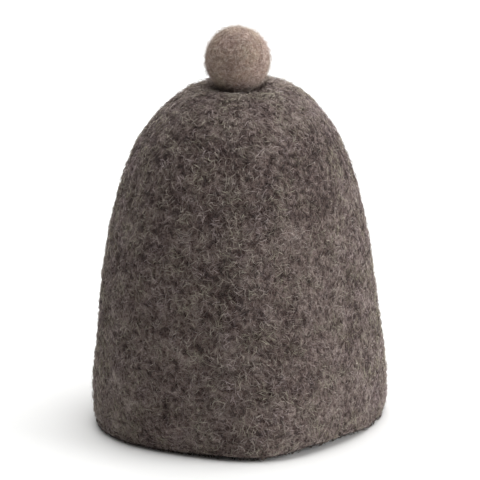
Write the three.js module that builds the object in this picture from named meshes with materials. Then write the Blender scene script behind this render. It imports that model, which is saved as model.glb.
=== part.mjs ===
// Egg cosy of wet-felted wool: a seamless dome, open below, with a felted ball sewn into a dimple at its crown.
// Millimetres, +Z up. It stands on its hem at z = 0 with its front towards -Y, and the origin is below the
// middle of its box.

import * as THREE from "three";

// Driving dimensions
const CROWN_HEIGHT = 86.8; // hem to crown, before the stitching draws the crown in
const FELT_THICKNESS = 3.5;
const HEM_ROUNDING_OUTSIDE = 1.8; // radius of the soft edge along the hem
const HEM_ROUNDING_INSIDE = 0.7;
const BALL_DIAMETER = 16.5;
const BALL_RIGHT = -0.5; // the ball is sewn on a little to the left of the middle
const BALL_FRONT = 0.8; // and a little towards the front
const BALL_GAP = 0.57; // between the ball and the bottom of the dimple that carries it
const DIMPLE_DEPTH = 3.87;
const DIMPLE_RADIUS = 8.4; // where the dimple has faded to about a third
const DIMPLE_FRONT = 0.8; // the dimple's middle is this far in front of the ball's

// Sections of the dome from the hem up. reach: half of the width; lean: how far the middle stands to the right.
const SECTIONS = [
  { up: 0, reach: 36.4, lean: 0.3 },
  { up: 8.5, reach: 37.2, lean: 0.1 },
  { up: 21, reach: 36.1, lean: 0 },
  { up: 37.5, reach: 34.3, lean: -0.3 },
  { up: 54, reach: 31.5, lean: -0.4 },
  { up: 68.5, reach: 27.0, lean: -0.3 },
  { up: 79, reach: 20.2, lean: 0.3 },
  { up: 85.6, reach: 11.6, lean: 0.7 },
];

// The dome is a soft oval, longest from the left front to the right back, and rounder towards the crown.
const OVAL_SWELL = 0.07; // share of the reach, at the hem

// Soft lumps from the felting. around: waves round the dome; rise: height of a wave; turn: where it starts.
const LUMPS = [
  { around: 3, rise: 75, turn: 70, size: 0.15 },
  { around: 5, rise: 48, turn: 200, size: 0.12 },
  { around: 8, rise: 33, turn: 110, size: 0.1 },
  { around: 11, rise: 21, turn: 300, size: 0.08 },
];

// The hem's own waves, which die away above it. at: degrees from the right, the front at 270; out: how far the
// edge stands out; lift: how far it stands off the table.
const HEM_WAVE_HEIGHT = 22;
const HEM_WAVES = [
  { at: 0, out: 0.1, lift: 0 },
  { at: 60, out: -0.5, lift: 0 },
  { at: 120, out: 0.6, lift: 0.3 },
  { at: 170, out: -0.8, lift: 0 },
  { at: 210, out: 1, lift: 0 },
  { at: 250, out: -0.9, lift: 0 },
  { at: 277, out: 1.2, lift: 0 },
  { at: 298, out: 0.3, lift: 0.9 },
  { at: 318, out: 0, lift: 0.7 },
  { at: 338, out: -0.1, lift: 0 },
  { at: 360, out: 0.1, lift: 0 },
];

// Natural wool, as the photograph shows it
const DOME_COLOUR = 0x6a625c;
const BALL_COLOUR = 0x938377;
const FELT_ROUGHNESS = 0.95;

// Fineness of the faces
const FACES_AROUND = 64;
const FACES_PER_SECTION = 4; // up the outside, between one section and the next
const FACES_PER_HEM_EDGE = 3;
const BALL_FACES_AROUND = 32;
const BALL_FACES_UP = 20;

const BALL_RADIUS = BALL_DIAMETER / 2;
const BALL_CENTRE = new THREE.Vector3(
  BALL_RIGHT,
  -BALL_FRONT,
  CROWN_HEIGHT - DIMPLE_DEPTH + BALL_GAP + BALL_RADIUS,
);
const WIDEST_REACH = Math.max(...SECTIONS.map((section) => section.reach));
const HEM_TOP = 1.5 * HEM_ROUNDING_OUTSIDE; // the wall's own curve starts here, above the soft edges
const QUARTER = Math.PI / 2;

// Value of a table's column at a place between two of its rows, with a soft change from row to row.
function between(rows, along, place, column) {
  const next = rows.findIndex((row) => row[along] >= place);
  if (next < 0) return rows.at(-1)[column];
  if (next === 0) return rows[0][column];
  const [before, after] = rows.slice(next - 1, next + 1);
  const share = THREE.MathUtils.smoothstep(place, before[along], after[along]);
  return THREE.MathUtils.lerp(before[column], after[column], share);
}

// Section through the wall: down the inside, round the hem and up the outside, from the axis to the axis.
function wallProfile() {
  const rows = SECTIONS.map(({ reach, up }) => new THREE.Vector2(reach, up));
  const crown = new THREE.Vector2(0, CROWN_HEIGHT);
  const past = rows.at(-1).clone().multiply(new THREE.Vector2(-1, 1)); // keeps the curve level at the crown
  const curve = new THREE.SplineCurve([...rows, crown, past]);
  const outside = [];
  const inside = [];
  const steps = FACES_PER_SECTION * SECTIONS.length;
  for (let step = 0; step <= steps; step++) {
    const share = step / (steps + FACES_PER_SECTION);
    const point = curve.getPoint(share);
    const tangent = curve.getTangent(share);
    const inward = new THREE.Vector2(-tangent.y, tangent.x).multiplyScalar(FELT_THICKNESS);
    outside.push(point);
    inside.push(point.clone().add(inward));
  }
  outside.at(-1).x = 0;
  inside.at(-1).x = 0;
  const hemReach = SECTIONS[0].reach;
  const aboveHem = (point) => point.y > HEM_TOP;
  return [
    ...inside.filter(aboveHem).reverse(),
    ...hemEdge(hemReach - FELT_THICKNESS + HEM_ROUNDING_INSIDE, HEM_ROUNDING_INSIDE, 2 * QUARTER),
    ...hemEdge(hemReach - HEM_ROUNDING_OUTSIDE, HEM_ROUNDING_OUTSIDE, 3 * QUARTER),
    ...outside.filter(aboveHem),
  ];
}

// Quarter round at one edge of the hem, about a middle at that reach.
function hemEdge(reach, radius, from) {
  const round = new THREE.EllipseCurve(reach, radius, radius, radius, from, from + QUARTER);
  return round.getPoints(FACES_PER_HEM_EDGE);
}

// How far the felting's lumps push the wall out, on a dome of the widest reach.
function lumpAt(turn, up) {
  let push = 0;
  for (const lump of LUMPS) {
    const start = THREE.MathUtils.degToRad(lump.turn);
    const round = Math.sin(lump.around * turn + start);
    const rise = Math.cos((2 * Math.PI * up) / lump.rise + 2 * start);
    push += lump.size * round * rise;
  }
  return push;
}

// Moves a point of the true round to where it lies on the hand-felted dome.
function handFelted(point) {
  const turn = Math.atan2(point.y, point.x);
  const up = THREE.MathUtils.clamp(point.z, 0, CROWN_HEIGHT);
  const degrees = THREE.MathUtils.euclideanModulo(THREE.MathUtils.radToDeg(turn), 360);
  const oval = OVAL_SWELL * Math.sqrt(1 - up / CROWN_HEIGHT) * Math.sin(2 * turn);
  const nearHem = Math.max(0, 1 - up / HEM_WAVE_HEIGHT) ** 2;
  const out = nearHem * between(HEM_WAVES, "at", degrees, "out");
  const swell = 1 + oval + (lumpAt(turn, up) + out) / WIDEST_REACH;
  point.x = point.x * swell + between(SECTIONS, "up", up, "lean");
  point.y = point.y * swell;
  point.z += nearHem * between(HEM_WAVES, "at", degrees, "lift");
  const fromDimple = Math.hypot(point.x - BALL_CENTRE.x, point.y - BALL_CENTRE.y + DIMPLE_FRONT);
  point.z -= DIMPLE_DEPTH * Math.exp(-((fromDimple / DIMPLE_RADIUS) ** 2));
}

function felt(color) {
  return new THREE.MeshStandardMaterial({ color, roughness: FELT_ROUGHNESS, metalness: 0 });
}

function feltDome() {
  const geometry = new THREE.LatheGeometry(wallProfile(), FACES_AROUND);
  geometry.rotateX(QUARTER);
  const places = geometry.getAttribute("position");
  const point = new THREE.Vector3();
  for (let i = 0; i < places.count; i++) {
    point.fromBufferAttribute(places, i);
    handFelted(point);
    places.setXYZ(i, point.x, point.y, point.z);
  }
  const dome = new THREE.Mesh(geometry, felt(DOME_COLOUR));
  dome.name = "felt_dome";
  return dome;
}

function feltBall() {
  const geometry = new THREE.SphereGeometry(BALL_RADIUS, BALL_FACES_AROUND, BALL_FACES_UP);
  geometry.rotateX(QUARTER);
  const ball = new THREE.Mesh(geometry, felt(BALL_COLOUR));
  ball.name = "felt_ball";
  ball.position.copy(BALL_CENTRE);
  return ball;
}

// Stands the cosy over the origin.
const standing = new THREE.Group();
standing.add(feltDome(), feltBall());
const middle = new THREE.Box3().setFromObject(standing).getCenter(new THREE.Vector3());
standing.position.set(-middle.x, -middle.y, 0);

const eggCosy = new THREE.Group();
eggCosy.name = "egg_cosy";
eggCosy.add(standing);

export default eggCosy;
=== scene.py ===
import math

import bmesh
import bpy
import numpy as np
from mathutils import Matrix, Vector, noise
from mathutils.bvhtree import BVHTree


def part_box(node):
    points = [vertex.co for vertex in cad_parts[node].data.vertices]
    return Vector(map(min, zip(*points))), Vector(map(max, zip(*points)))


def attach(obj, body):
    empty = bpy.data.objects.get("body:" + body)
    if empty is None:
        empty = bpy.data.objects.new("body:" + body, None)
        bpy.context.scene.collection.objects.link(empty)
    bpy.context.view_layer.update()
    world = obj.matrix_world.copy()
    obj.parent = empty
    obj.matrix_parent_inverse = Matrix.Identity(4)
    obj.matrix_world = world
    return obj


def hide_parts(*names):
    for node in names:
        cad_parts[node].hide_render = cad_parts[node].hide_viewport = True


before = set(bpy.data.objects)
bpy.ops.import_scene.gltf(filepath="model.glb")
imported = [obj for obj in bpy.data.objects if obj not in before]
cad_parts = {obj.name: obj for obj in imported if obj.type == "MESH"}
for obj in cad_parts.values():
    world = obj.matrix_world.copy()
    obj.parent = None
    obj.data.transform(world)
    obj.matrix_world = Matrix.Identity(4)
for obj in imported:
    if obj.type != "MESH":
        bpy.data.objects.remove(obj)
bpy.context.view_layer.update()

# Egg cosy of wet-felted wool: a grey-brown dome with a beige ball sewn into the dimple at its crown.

MM = 0.001
TINY = 1e-12  # keeps a zero length from dividing by nothing
SEED = 20  # of the fibres' random draws

# Camera, fitted to the photograph's outline and hem: it looks from 15 degrees above the table. The lens and
# the sensor are in millimetres.
CAMERA_TARGET = Vector((0.09, -0.04, 45.2)) * MM
CAMERA_DISTANCE = 676 * MM
CAMERA_ELEVATION = math.radians(15)
CAMERA_LENS = 200.6
CAMERA_SENSOR = 36.0

# Lights, in metres and watts. aim: the point that a soft box faces; side: its width.
LIGHTS = [
    {"name": "right_soft_box", "place": (0.94, -0.2, 0.3), "aim": (0, 0, 0.05), "side": 0.6, "power": 8.3},
    {"name": "top_soft_box", "place": (0.1, 0.24, 1.2), "aim": (0, 0, 0.05), "side": 1.2, "power": 21.5},
]
ROOM_LIGHT = 0.224  # strength of the light all round, on the whole
ROOM_FRONT = 0.3  # share of it that comes from straight in front, so that more comes from behind
CARD_REACH = 4.0  # metres from the cosy to the edges of the card below it

# The felt's uneven surface, in millimetres. size: width of a lump; depth: how far it stands out or in.
DOME_LUMPS = [
    {"size": 7.0, "depth": 0.16},
    {"size": 3.2, "depth": 0.14},
    {"size": 1.8, "depth": 0.09},
]
BALL_LUMPS = [
    {"size": 5.0, "depth": 0.12},
    {"size": 1.6, "depth": 0.05},
]
FINER_LEVELS = 2  # subdivisions of a solid's faces, to carry the lumps
MERGE_GAP = 0.001 * MM  # corners of a solid's faces that are closer than this are one

DOME_SUNK = 0.5  # the matted felt lies this far inside the solid, in millimetres, with fibres over it
BALL_SUNK = 0.28
HEM_FADE = 2 * MM  # the height over which that begins, up from the hem's foot
DOME_MIDDLE = 0.45  # share of the dome's height to the point that its outer faces look away from

# The hem's underside lies lower than HEM_TOP and faces down by more than HEM_UNDER. It has its own fibres.
HEM_TOP = 4 * MM
HEM_UNDER = -0.3

# Where the felt stands out, and off the table, in degrees from the right and millimetres: the front and right
# of the hem, over a slit of shadow, and last a soft ridge up the front. width: how far round it fades; up:
# the height where it ends; hold: over 1, it fades later on the way there; lift: how far up it stands; out:
# how far out.
FELT_STANDS = [
    {"at": -95, "width": 20, "up": 38, "hold": 1, "lift": 0.6, "out": 1.4},
    {"at": -66, "width": 20, "up": 38, "hold": 1, "lift": 0.5, "out": 2.4},
    {"at": -38, "width": 20, "up": 38, "hold": 1, "lift": 0.3, "out": 1.8},
    {"at": -8, "width": 22, "up": 38, "hold": 1, "lift": 0.0, "out": 0.8},
    {"at": -79, "width": 19, "up": 80, "hold": 3, "lift": 0.0, "out": 1.7},
]

# How much lighter or darker the felt is coloured by height, in millimetres: the dome's is lightest at the hem
# and darkest in a belt below the crown, and the ball's is the same all over.
DOME_BELTS = {"up": [0, 8, 22, 48, 72, 80], "shade": [0.12, 0.08, 0.01, 0.01, -0.09, 0.04]}
BALL_BELTS = {"up": [0], "shade": [0]}

# Lighter and darker locks of wool that the felting mixed, and the dark pits between its strands, in
# millimetres. locks: width of a patch and its share; pit: gap between pits; dark: how much darker they are.
# A pit's darkness is partly dark wool and partly painted shade in the hollow.
DOME_GRAIN = {
    "locks": [(7.0, 0.20), (3.0, 0.22), (1.6, 0.10)], "pit": 1.05, "dark": 0.46, "belts": DOME_BELTS,
}
BALL_GRAIN = {
    "locks": [(5.0, 0.08), (2.0, 0.06)], "pit": 0.8, "dark": 0.20, "belts": BALL_BELTS,
}
PIT_EDGE = (0.08, 0.32)  # where a pit starts and is deepest, on the noise that places it
PIT_SINK = 0.8  # share of a fibre's height that a pit takes
MIDDLE = 0.5  # middle of the wool's shades and of its tints

# Webs of matted strands on the felt, in millimetres. cell: gap between strands; width: of a strand; bend: the
# length over which it curls; sway: how far it strays.
DOME_WEBS = [
    {"cell": 1.3, "width": 0.13, "bend": 1.2, "sway": 1.5},
    {"cell": 0.8, "width": 0.10, "bend": 0.8, "sway": 1.0},
]
BALL_WEBS = [
    {"cell": 1.1, "width": 0.10, "bend": 0.9, "sway": 1.0},
    {"cell": 0.7, "width": 0.08, "bend": 0.6, "sway": 0.7},
]
# The felt between the strands lies darker on the ramp than the fibres over it: painted shade in the felt's
# depth.
DOME_GROUND = 0.22  # shade of the felt between its strands, on the wool's ramp
BALL_GROUND = 0.30
STRAND_LIGHT = 0.3  # how much lighter the strands are
STRAND_HEIGHT = 0.1 * MM
LOCKS_SHOW = 0.6  # how much of the locks' shades the felt shows below its fibres

# Wool fibres on the surface, in millimetres. Single ones are about 0.03 wide, too fine to show, so they are
# drawn as coarse as the bundles that the eye makes out. points: along a fibre; turn: how far it curls, in
# radians; rise: height of its arch over the felt; loose: how far its end stands off; shade: its place on the
# wool's ramp; spread: how far the shades differ; reach: least and most from the ball's axis to its root.
# The lower fibre layers lie darker on the wool's ramp than the upper ones: painted shade in the felt's depth.
DOME_FIBRES = [
    {"name": "dome_wool_low", "count": 8000, "points": 4, "length": (1.2, 2.2), "width": (0.20, 0.28),
     "turn": 2.0, "rise": (0.02, 0.16), "loose": (0.0, 0.0), "shade": 0.38, "spread": 0.20, "reach": (5, 99)},
    {"name": "dome_wool_middle", "count": 16600, "points": 4, "length": (1.2, 2.4), "width": (0.14, 0.22),
     "turn": 1.8, "rise": (0.16, 0.44), "loose": (0.0, 0.1), "shade": 0.56, "spread": 0.27, "reach": (5, 99)},
    {"name": "dome_wool_high", "count": 16600, "points": 4, "length": (1.6, 3.2), "width": (0.09, 0.14),
     "turn": 1.4, "rise": (0.36, 0.66), "loose": (0.0, 0.2), "shade": 0.69, "spread": 0.32, "reach": (5, 99)},
    {"name": "dome_curls", "count": 2500, "points": 6, "length": (2.8, 5.2), "width": (0.10, 0.15),
     "turn": 3.8, "rise": (0.44, 0.70), "loose": (0.0, 0.2), "shade": 0.63, "spread": 0.18, "reach": (5, 99)},
    {"name": "dome_loose_hairs", "count": 6000, "points": 4, "length": (1.4, 3.2), "width": (0.04, 0.07),
     "turn": 1.6, "rise": (0.50, 0.84), "loose": (0.2, 0.9), "shade": 0.64, "spread": 0.16, "reach": (5, 99)},
    {"name": "crown_seat_wool", "count": 1500, "points": 6, "length": (2.2, 4.2), "width": (0.10, 0.16),
     "turn": 3.0, "rise": (0.30, 0.80), "loose": (0.2, 1.4), "shade": 0.66, "spread": 0.16, "reach": (6, 12)},
]
# Fibres that hang below the hem: their dark shade is painted shadow in the slit under it.
HEM_FIBRES = {
    "name": "hem_wool_below", "count": 1600, "points": 4, "length": (0.8, 2.0), "width": (0.14, 0.24),
    "turn": 2.0, "rise": (0.1, 0.5), "loose": (0.1, 1.0), "shade": 0.12, "spread": 0.08, "reach": (5, 99),
}
BALL_FIBRES = [
    {"name": "ball_wool", "count": 3600, "points": 5, "length": (1.2, 2.4), "width": (0.16, 0.24),
     "turn": 3.0, "rise": (0.04, 0.20), "loose": (0, 0.05), "shade": 0.61, "spread": 0.14, "reach": (0, 99)},
    # Dark curls on the ball: painted shade of the gaps between its lighter bundles.
    {"name": "ball_gap_shade_curls", "count": 700, "points": 6, "length": (2.0, 4.0), "width": (0.08, 0.12),
     "turn": 4.2, "rise": (0.12, 0.22), "loose": (0.0, 0.0), "shade": 0.28, "spread": 0.10, "reach": (0, 99)},
    {"name": "ball_loose_hairs", "count": 5400, "points": 4, "length": (0.8, 2.0), "width": (0.03, 0.045),
     "turn": 1.2, "rise": (0.10, 0.30), "loose": (0.3, 1.5), "shade": 0.74, "spread": 0.12, "reach": (0, 99)},
]
CURL_CHANGE = 3.0  # how far a curl may turn over on its way along a fibre, in radians
# Painted shade: a fibre's ends are darker where they sink into the felt, which shades them.
ROOT_PAINTED_SHADE = 0.16  # how much darker a fibre's sunken ends are, on the wool's ramp
SIDES = 3  # of a fibre's tube

# Natural wool in sRGB, from its darkest to its lightest fibres
GREY_BROWN_WOOL = ["#2f221f", "#5d4e4a", "#857872", "#a29891", "#b8b0a9"]
BEIGE_WOOL = ["#684f45", "#8b7265", "#ae978a", "#c9b8ac", "#e0d2c8"]
DOME_SHEEN = 0.14
BALL_SHEEN = 0.42  # the ball's fine fuzz is lighter towards its outline
SHEEN_ROUGHNESS = 0.5
WOOL_IOR = 1.54
CARD_WHITE = "#f0f0ef"
LIGHT_WHITE = "#ffffff"

# The mix has olive and rosy wool in it, so a fibre is tinted between two colours, the ball's less than the
# dome's.
DOME_TINTS = ["#fbffec", "#fff5ff"]
BALL_TINTS = ["#fdfff5", "#fffaff"]
TINT_LOCKS = [(4.0, 0.9), (1.2, 0.4)]  # width of a patch, in millimetres, and its share
TINT_SHIFT = Vector((30, 0, 0))  # keeps the tints apart from the light and dark locks

# A fibre's map holds its shade across and its tint up.
FIBRE_MAP = "OFBake"
SHADE_RANGE = (0.02, 0.98)
SHADE_WIDTH = 0.004  # half of a fibre's width there
TINT_RANGE = (0.02, 0.93)
TINT_LENGTH = 0.05  # a fibre's length there

rng = np.random.default_rng(SEED)


def linear(hex_colour):
    """An sRGB hex colour as linear RGBA."""
    parts = [int(hex_colour[i : i + 2], 16) / 255 for i in (1, 3, 5)]
    return [p / 12.92 if p <= 0.04045 else ((p + 0.055) / 1.055) ** 2.4 for p in parts] + [1.0]


def add_node(tree, kind, inputs=None, **settings):
    """A node with its settings. An input is a value, or another node's output to link."""
    node = tree.nodes.new(kind)
    for name, value in settings.items():
        setattr(node, name, value)
    for name, value in (inputs or {}).items():
        if isinstance(value, bpy.types.NodeSocket):
            tree.links.new(value, node.inputs[name])
        else:
            node.inputs[name].default_value = value
    return node


def new_material(name):
    """A material with an empty tree."""
    material = bpy.data.materials.new(name)
    material.use_nodes = True
    material.node_tree.nodes.clear()
    return material, material.node_tree


def set_ramp(node, colours):
    """Spreads sRGB colours evenly along a colour ramp."""
    ramp = node.color_ramp
    for _ in range(len(colours) - 2):
        ramp.elements.new(MIDDLE)
    for i, colour in enumerate(colours):
        ramp.elements[i].position = i / (len(colours) - 1)
        ramp.elements[i].color = linear(colour)


# Materials


def matted_wool(name, colours, webs, ground, sheen):
    """Wool felted tight: dull, with a web of fine strands over darker gaps and the mottle of its locks and
    pits; the gaps' darkness is painted shade, and the pits' is partly painted shade.
    """
    material, tree = new_material(name)
    place = add_node(tree, "ShaderNodeTexCoord").outputs["Object"]
    strands = None
    for row in webs:
        curl = {"Vector": place, "Scale": 1 / (row["bend"] * MM), "Detail": 1.0}
        curl = add_node(tree, "ShaderNodeTexNoise", curl).outputs["Color"]
        stray = {0: curl, 1: [row["sway"] * MM] * 3, 2: place}
        bent = add_node(tree, "ShaderNodeVectorMath", stray, operation="MULTIPLY_ADD").outputs[0]
        cells = {"Vector": bent, "Scale": 1 / (row["cell"] * MM)}
        gap = add_node(tree, "ShaderNodeTexVoronoi", cells, feature="DISTANCE_TO_EDGE").outputs["Distance"]
        edge = {"Value": gap, "From Max": row["width"] / row["cell"], "To Min": 1.0, "To Max": 0.0}
        line = add_node(tree, "ShaderNodeMapRange", edge).outputs["Result"]
        if strands:
            line = add_node(tree, "ShaderNodeMath", {0: strands, 1: line}, operation="MAXIMUM").outputs[0]
        strands = line
    mottle = add_node(tree, "ShaderNodeAttribute", attribute_name="mottle").outputs["Fac"]
    locks = {0: mottle, 1: LOCKS_SHOW, 2: ground - LOCKS_SHOW * MIDDLE}
    locks = add_node(tree, "ShaderNodeMath", locks, operation="MULTIPLY_ADD").outputs[0]
    shade = {0: strands, 1: STRAND_LIGHT, 2: locks}
    shade = add_node(tree, "ShaderNodeMath", shade, operation="MULTIPLY_ADD").outputs[0]
    ramp = add_node(tree, "ShaderNodeValToRGB", {"Fac": shade})
    set_ramp(ramp, colours)
    bump = add_node(tree, "ShaderNodeBump", {"Height": strands, "Strength": 0.8, "Distance": STRAND_HEIGHT})
    surface = add_node(
        tree,
        "ShaderNodeBsdfPrincipled",
        {
            "Base Color": ramp.outputs["Color"],
            "Normal": bump.outputs["Normal"],
            "Roughness": 0.95,
            "IOR": WOOL_IOR,
            "Specular IOR Level": 0.15,
            "Sheen Weight": sheen,
            "Sheen Roughness": SHEEN_ROUGHNESS,
        },
    )
    add_node(tree, "ShaderNodeOutputMaterial", {"Surface": surface.outputs["BSDF"]})
    return material


def wool_fibres(name, colours, tints, sheen):
    """Fibres that stand out: a soft gleam along each, its own shade and tint, and painted shade at the ends
    that sink into the felt.
    """
    material, tree = new_material(name)
    spot = add_node(tree, "ShaderNodeUVMap", uv_map=FIBRE_MAP).outputs["UV"]
    spot = add_node(tree, "ShaderNodeSeparateXYZ", {"Vector": spot})
    ramp = add_node(tree, "ShaderNodeValToRGB", {"Fac": spot.outputs["X"]})
    set_ramp(ramp, colours)
    tint = add_node(tree, "ShaderNodeValToRGB", {"Fac": spot.outputs["Y"]})
    set_ramp(tint, tints)
    mix = {0: 1.0, 6: ramp.outputs["Color"], 7: tint.outputs["Color"]}
    mix = add_node(tree, "ShaderNodeMix", mix, data_type="RGBA", blend_type="MULTIPLY")
    surface = add_node(
        tree,
        "ShaderNodeBsdfPrincipled",
        {
            "Base Color": mix.outputs[2],
            "Roughness": 0.7,
            "IOR": WOOL_IOR,
            "Specular IOR Level": 0.2,
            "Sheen Weight": sheen,
            "Sheen Roughness": SHEEN_ROUGHNESS,
        },
    )
    add_node(tree, "ShaderNodeOutputMaterial", {"Surface": surface.outputs["BSDF"]})
    return material


def matt_card(name, colour):
    """Smooth matt card below and behind the cosy."""
    material, tree = new_material(name)
    finish = {"Base Color": linear(colour), "Roughness": 0.9, "Specular IOR Level": 0.1}
    surface = add_node(tree, "ShaderNodeBsdfPrincipled", finish)
    add_node(tree, "ShaderNodeOutputMaterial", {"Surface": surface.outputs["BSDF"]})
    return material


# Felt


def wool_at(point, grain):
    """How light the wool is at a point, on its ramp, with its pits darker partly as painted shade, and how
    deep it lies in a pit, from 0 to 1.
    """
    shade = MIDDLE + np.interp(point.z / MM, grain["belts"]["up"], grain["belts"]["shade"])
    for size, share in grain["locks"]:
        shade += share * noise.noise(point / (size * MM))
    pit = -noise.noise(point / (grain["pit"] * MM))
    pit = min(max((pit - PIT_EDGE[0]) / (PIT_EDGE[1] - PIT_EDGE[0]), 0.0), 1.0)
    return shade - grain["dark"] * pit, pit


def tint_at(point):
    """Where the wool at a point lies between its two tints."""
    return MIDDLE + sum(share * noise.noise(point / (size * MM) + TINT_SHIFT) for size, share in TINT_LOCKS)


def mesh_points(mesh):
    """A mesh's vertices as rows of an array."""
    places = np.empty(len(mesh.vertices) * 3, np.float32)
    mesh.vertices.foreach_get("co", places)
    return places.reshape(-1, 3)


def settle_felt(places):
    """Moves the felt out, and the hem up, where FELT_STANDS says."""
    turn = np.degrees(np.arctan2(places[:, 1], places[:, 0]))
    reach = np.hypot(places[:, 0], places[:, 1])
    up = places[:, 2] / MM
    for row in FELT_STANDS:
        share = (1 + np.cos(math.pi * np.minimum(up / row["up"], 1) ** row["hold"])) / 2
        share *= np.exp(-(((turn - row["at"]) / row["width"]) ** 2))
        places[:, :2] *= 1 + (row["out"] * MM * share / reach)[:, None]
        places[:, 2] += row["lift"] * MM * share


def finer_copy(name, node):
    """A copy of a solid with its faces joined and subdivided."""
    shape = bmesh.new()
    shape.from_mesh(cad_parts[node].data)
    bmesh.ops.remove_doubles(shape, verts=shape.verts[:], dist=MERGE_GAP)
    bmesh.ops.join_triangles(
        shape, faces=shape.faces[:], angle_face_threshold=math.pi, angle_shape_threshold=math.pi
    )
    mesh = bpy.data.meshes.new(name)
    shape.to_mesh(mesh)
    shape.free()
    body = bpy.data.objects.new(name, mesh)
    bpy.context.scene.collection.objects.link(body)
    finer = body.modifiers.new("finer", "SUBSURF")
    finer.levels = FINER_LEVELS
    finer.render_levels = FINER_LEVELS
    fine = bpy.data.meshes.new_from_object(body.evaluated_get(bpy.context.evaluated_depsgraph_get()))
    body.modifiers.clear()
    body.data = fine
    bpy.data.meshes.remove(mesh)
    fine.name = name
    return body


def felt_body(name, node, lumps, grain, sunk):
    """A finer copy of a solid, sunk below its fibres, with the felt's lumps and the mottle of its wool, in
    which the pits are darker partly as painted shade.
    """
    body = finer_copy(name, node)
    fine = body.data
    places = mesh_points(fine)
    outward = np.empty(places.size, np.float32)
    fine.vertices.foreach_get("normal", outward)
    moves = -sunk * MM * np.clip(places[:, 2] / HEM_FADE, 0, 1)
    shades = np.empty(len(places))
    for i, place in enumerate(places):
        point = Vector(place)
        shades[i] = wool_at(point, grain)[0]
        for lump in lumps:
            moves[i] += lump["depth"] * MM * noise.noise(point / (lump["size"] * MM))
    places += outward.reshape(-1, 3) * moves[:, None]
    places[:, 2] = np.maximum(places[:, 2], 0)
    settle_felt(places)
    fine.vertices.foreach_set("co", places.ravel())
    # The mottle holds the wool's shades, with its pits darker partly as painted shade.
    fine.attributes.new("mottle", "FLOAT", "POINT").data.foreach_set("value", shades)
    fine.shade_smooth()
    fine.update()
    return body


def outer_spots(body, count, middle, reach, below):
    """Random points, even over the faces that look away from a middle and lie in reach of the ball's axis.

    They are on the hem's underside where below is true, and everywhere else where it isn't.
    """
    mesh = body.data
    mesh.calc_loop_triangles()
    corners = np.empty(len(mesh.loop_triangles) * 3, np.int32)
    mesh.loop_triangles.foreach_get("vertices", corners)
    triangles = mesh_points(mesh)[corners.reshape(-1, 3)].astype(float)
    centres = triangles.mean(1)
    across = np.cross(triangles[:, 1] - triangles[:, 0], triangles[:, 2] - triangles[:, 0])
    outward = np.einsum("ij,ij->i", across, centres - np.array(middle)) > 0
    away = np.hypot(centres[:, 0] - ball_middle.x, centres[:, 1] - ball_middle.y) / MM
    size = np.linalg.norm(across, axis=1)
    under = (centres[:, 2] < HEM_TOP) & (across[:, 2] < HEM_UNDER * size)
    area = size * outward * (under == below) * (away > reach[0]) * (away < reach[1])
    chosen = rng.choice(len(area), count, p=area / area.sum())
    u, v = rng.random((2, count, 1))
    over = u + v > 1
    u = np.where(over, 1 - u, u)
    v = np.where(over, 1 - v, v)
    a, b, c = triangles[chosen].transpose(1, 0, 2)
    return a + u * (b - a) + v * (c - a)


def lay_fibres(body, middle, grain, wool, row, below=False):
    """One joined mesh of curled fibres on a felt body, or on its hem's underside where below is true."""
    count = row["count"]
    points = row["points"]
    surface = BVHTree.FromObject(body, bpy.context.evaluated_depsgraph_get())
    roots = outer_spots(body, count, middle, row["reach"], below)
    length, width, rise, loose = (
        rng.uniform(*row[column], (count, 1)) * MM for column in ("length", "width", "rise", "loose")
    )
    start, curl = rng.uniform(0, 2 * math.pi, (2, count, 1))
    curl = curl + rng.uniform(0, CURL_CHANGE, (count, 1)) * np.linspace(0, 1, points - 1)
    heading = start + np.cumsum(row["turn"] / (points - 1) * np.cos(curl), axis=1)
    step = length / (points - 1)
    walk = np.zeros((count, points, 2))
    walk[:, 1:, 0] = np.cumsum(np.cos(heading) * step, axis=1)
    walk[:, 1:, 1] = np.cumsum(np.sin(heading) * step, axis=1)
    along = np.linspace(0, 1, points)
    height = rise * np.sin(math.pi * along) + loose * along**2 - width / 2
    spine = np.empty((count, points, 3))
    normals = np.empty((count, points, 3))
    shades = np.empty((count, points))
    tints = np.empty((count, 1))
    for i, root in enumerate(roots):
        root = Vector(root)
        tints[i] = tint_at(root)
        facing = surface.find_nearest(root)[1]
        right = facing.orthogonal().normalized()
        ahead = facing.cross(right)
        for k in range(points):
            flat = root + right * walk[i, k, 0] + ahead * walk[i, k, 1]
            near, normal, _, _ = surface.find_nearest(flat)
            shades[i, k], pit = wool_at(near, grain)
            under = near.z < HEM_TOP and normal.z < HEM_UNDER and not below
            spine[i, k] = near if under else near + normal * (height[i, k] * (1 - PIT_SINK * pit))
            normals[i, k] = normal
    spine[:, :, 2] = np.maximum(spine[:, :, 2], width)
    shade = row["shade"] + shades - MIDDLE + rng.normal(0, row["spread"], (count, 1))
    return fibre_mesh(row["name"], spine, normals, width / 2, shade, tints, wool)


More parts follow.
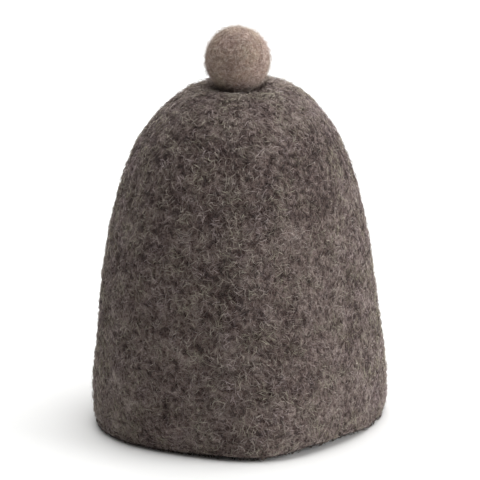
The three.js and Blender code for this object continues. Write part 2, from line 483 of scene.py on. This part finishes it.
def fibre_mesh(name, spine, normals, radius, shade, tints, wool):
    """Three-sided tubes with pointed ends along the spines, and each fibre's shade and tint on its map."""
    count, points = spine.shape[:2]
    rings = points - 2
    tangent = spine[:, 2:] - spine[:, :-2]
    tangent /= np.linalg.norm(tangent, axis=2, keepdims=True) + TINY
    side = np.cross(tangent, normals[:, 1:-1])
    side /= np.linalg.norm(side, axis=2, keepdims=True) + TINY
    over = np.cross(side, tangent)
    corners = np.empty((count, rings, SIDES, 3))
    for corner in range(SIDES):
        turn = math.pi / 2 + corner * 2 * math.pi / SIDES
        out = math.cos(turn) * side + math.sin(turn) * over
        corners[:, :, corner] = spine[:, 1:-1] + radius[:, None] * out
    vertices = np.concatenate([spine[:, :1], corners.reshape(count, -1, 3), spine[:, -1:]], axis=1)
    size = vertices.shape[1]
    last = size - 1
    faces = []
    for corner in range(SIDES):
        after = (corner + 1) % SIDES
        faces.append((0, 1 + after, 1 + corner))
        for low in range(1, last - SIDES, SIDES):
            high = low + SIDES
            faces.append((low + corner, low + after, high + after, high + corner))
        faces.append((last, last - SIDES + corner, last - SIDES + after))
    pattern = np.concatenate(faces)
    sizes = np.tile([len(face) for face in faces], count)
    mesh = bpy.data.meshes.new(name)
    mesh.vertices.add(count * size)
    mesh.vertices.foreach_set("co", vertices.ravel())
    mesh.loops.add(count * len(pattern))
    mesh.loops.foreach_set("vertex_index", (np.arange(count)[:, None] * size + pattern).ravel())
    mesh.polygons.add(len(sizes))
    mesh.polygons.foreach_set("loop_start", np.concatenate([[0], np.cumsum(sizes)[:-1]]))
    across = np.concatenate([[0], np.tile([0, 1, -1], rings), [0]]) * SHADE_WIDTH
    ring = np.concatenate([[0], np.repeat(np.arange(1, rings + 1), SIDES), [rings + 1]])
    along = ring / (rings + 1)
    places = np.empty((count, size, 2))
    # A fibre's ends are painted darker here, as painted shade where they sink into the felt.
    places[:, :, 0] = np.clip(shade[:, ring] - ROOT_PAINTED_SHADE * (2 * along - 1) ** 2, *SHADE_RANGE) + across
    places[:, :, 1] = np.clip(tints, *TINT_RANGE) + TINT_LENGTH * along
    mesh.uv_layers.new(name=FIBRE_MAP).data.foreach_set("uv", places[:, pattern].ravel())
    mesh.update(calc_edges=True)
    mesh.shade_smooth()
    mesh.materials.append(wool)
    fibres = bpy.data.objects.new(name, mesh)
    bpy.context.scene.collection.objects.link(fibres)
    return fibres


# Pieces

dome_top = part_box("felt_dome")[1].z
ball_low, ball_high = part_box("felt_ball")
dome_middle = Vector((0, 0, DOME_MIDDLE * dome_top))
ball_middle = (ball_low + ball_high) / 2

dome = felt_body("felt_dome_wall", "felt_dome", DOME_LUMPS, DOME_GRAIN, DOME_SUNK)
dome_felt = matted_wool("grey_brown_matted_wool", GREY_BROWN_WOOL, DOME_WEBS, DOME_GROUND, DOME_SHEEN)
dome.data.materials.append(dome_felt)
ball = felt_body("felt_ball_core", "felt_ball", BALL_LUMPS, BALL_GRAIN, BALL_SUNK)
ball_felt = matted_wool("beige_matted_wool", BEIGE_WOOL, BALL_WEBS, BALL_GROUND, BALL_SHEEN)
ball.data.materials.append(ball_felt)

grey_brown_fibres = wool_fibres("grey_brown_wool_fibres", GREY_BROWN_WOOL, DOME_TINTS, DOME_SHEEN)
beige_fibres = wool_fibres("beige_wool_fibres", BEIGE_WOOL, BALL_TINTS, BALL_SHEEN)
dome_wool = [lay_fibres(dome, dome_middle, DOME_GRAIN, grey_brown_fibres, row) for row in DOME_FIBRES]
dome_wool.append(lay_fibres(dome, dome_middle, DOME_GRAIN, grey_brown_fibres, HEM_FIBRES, below=True))
ball_wool = [lay_fibres(ball, ball_middle, BALL_GRAIN, beige_fibres, row) for row in BALL_FIBRES]

for piece in [dome, *dome_wool]:
    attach(piece, "root")
for piece in [ball, *ball_wool]:
    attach(piece, "root")
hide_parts("felt_dome")
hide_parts("felt_ball")


# Stage: white card, soft lights at the right and above, and a weak one all round, least from the front.


def soft_light(row):
    """A square soft box that looks at a point."""
    data = bpy.data.lights.new(row["name"], "AREA")
    data.shape = "SQUARE"
    data.size = row["side"]
    data.energy = row["power"]
    light = bpy.data.objects.new(row["name"], data)
    light.location = row["place"]
    light.rotation_euler = (Vector(row["aim"]) - light.location).to_track_quat("-Z", "Y").to_euler()
    bpy.context.scene.collection.objects.link(light)


def build_stage():
    """White card that runs out of the picture, the lights and the camera."""
    scene = bpy.context.scene
    card = bmesh.new()
    bmesh.ops.create_grid(card, x_segments=1, y_segments=1, size=CARD_REACH)
    mesh = bpy.data.meshes.new("white_card")
    card.to_mesh(mesh)
    card.free()
    mesh.materials.append(matt_card("white_card", CARD_WHITE))
    floor = bpy.data.objects.new("white_card", mesh)
    scene.collection.objects.link(floor)
    for row in LIGHTS:
        soft_light(row)
    world = bpy.data.worlds.new("studio")
    world.use_nodes = True
    tree = world.node_tree
    direction = add_node(tree, "ShaderNodeTexCoord").outputs["Generated"]
    behind = add_node(tree, "ShaderNodeSeparateXYZ", {"Vector": direction}).outputs["Y"]
    change = {0: behind, 1: (1 - ROOM_FRONT) * ROOM_LIGHT, 2: ROOM_LIGHT}
    strength = add_node(tree, "ShaderNodeMath", change, operation="MULTIPLY_ADD").outputs[0]
    tree.links.new(strength, tree.nodes["Background"].inputs["Strength"])
    tree.nodes["Background"].inputs["Color"].default_value = linear(LIGHT_WHITE)
    scene.world = world
    scene.view_settings.view_transform = "Standard"
    data = bpy.data.cameras.new("camera")
    data.lens = CAMERA_LENS
    data.sensor_width = CAMERA_SENSOR
    camera = bpy.data.objects.new("camera", data)
    back = Vector((0, -math.cos(CAMERA_ELEVATION), math.sin(CAMERA_ELEVATION)))
    camera.location = CAMERA_TARGET + back * CAMERA_DISTANCE
    camera.rotation_euler = (-back).to_track_quat("-Z", "Y").to_euler()
    scene.collection.objects.link(camera)
    scene.camera = camera


build_stage()
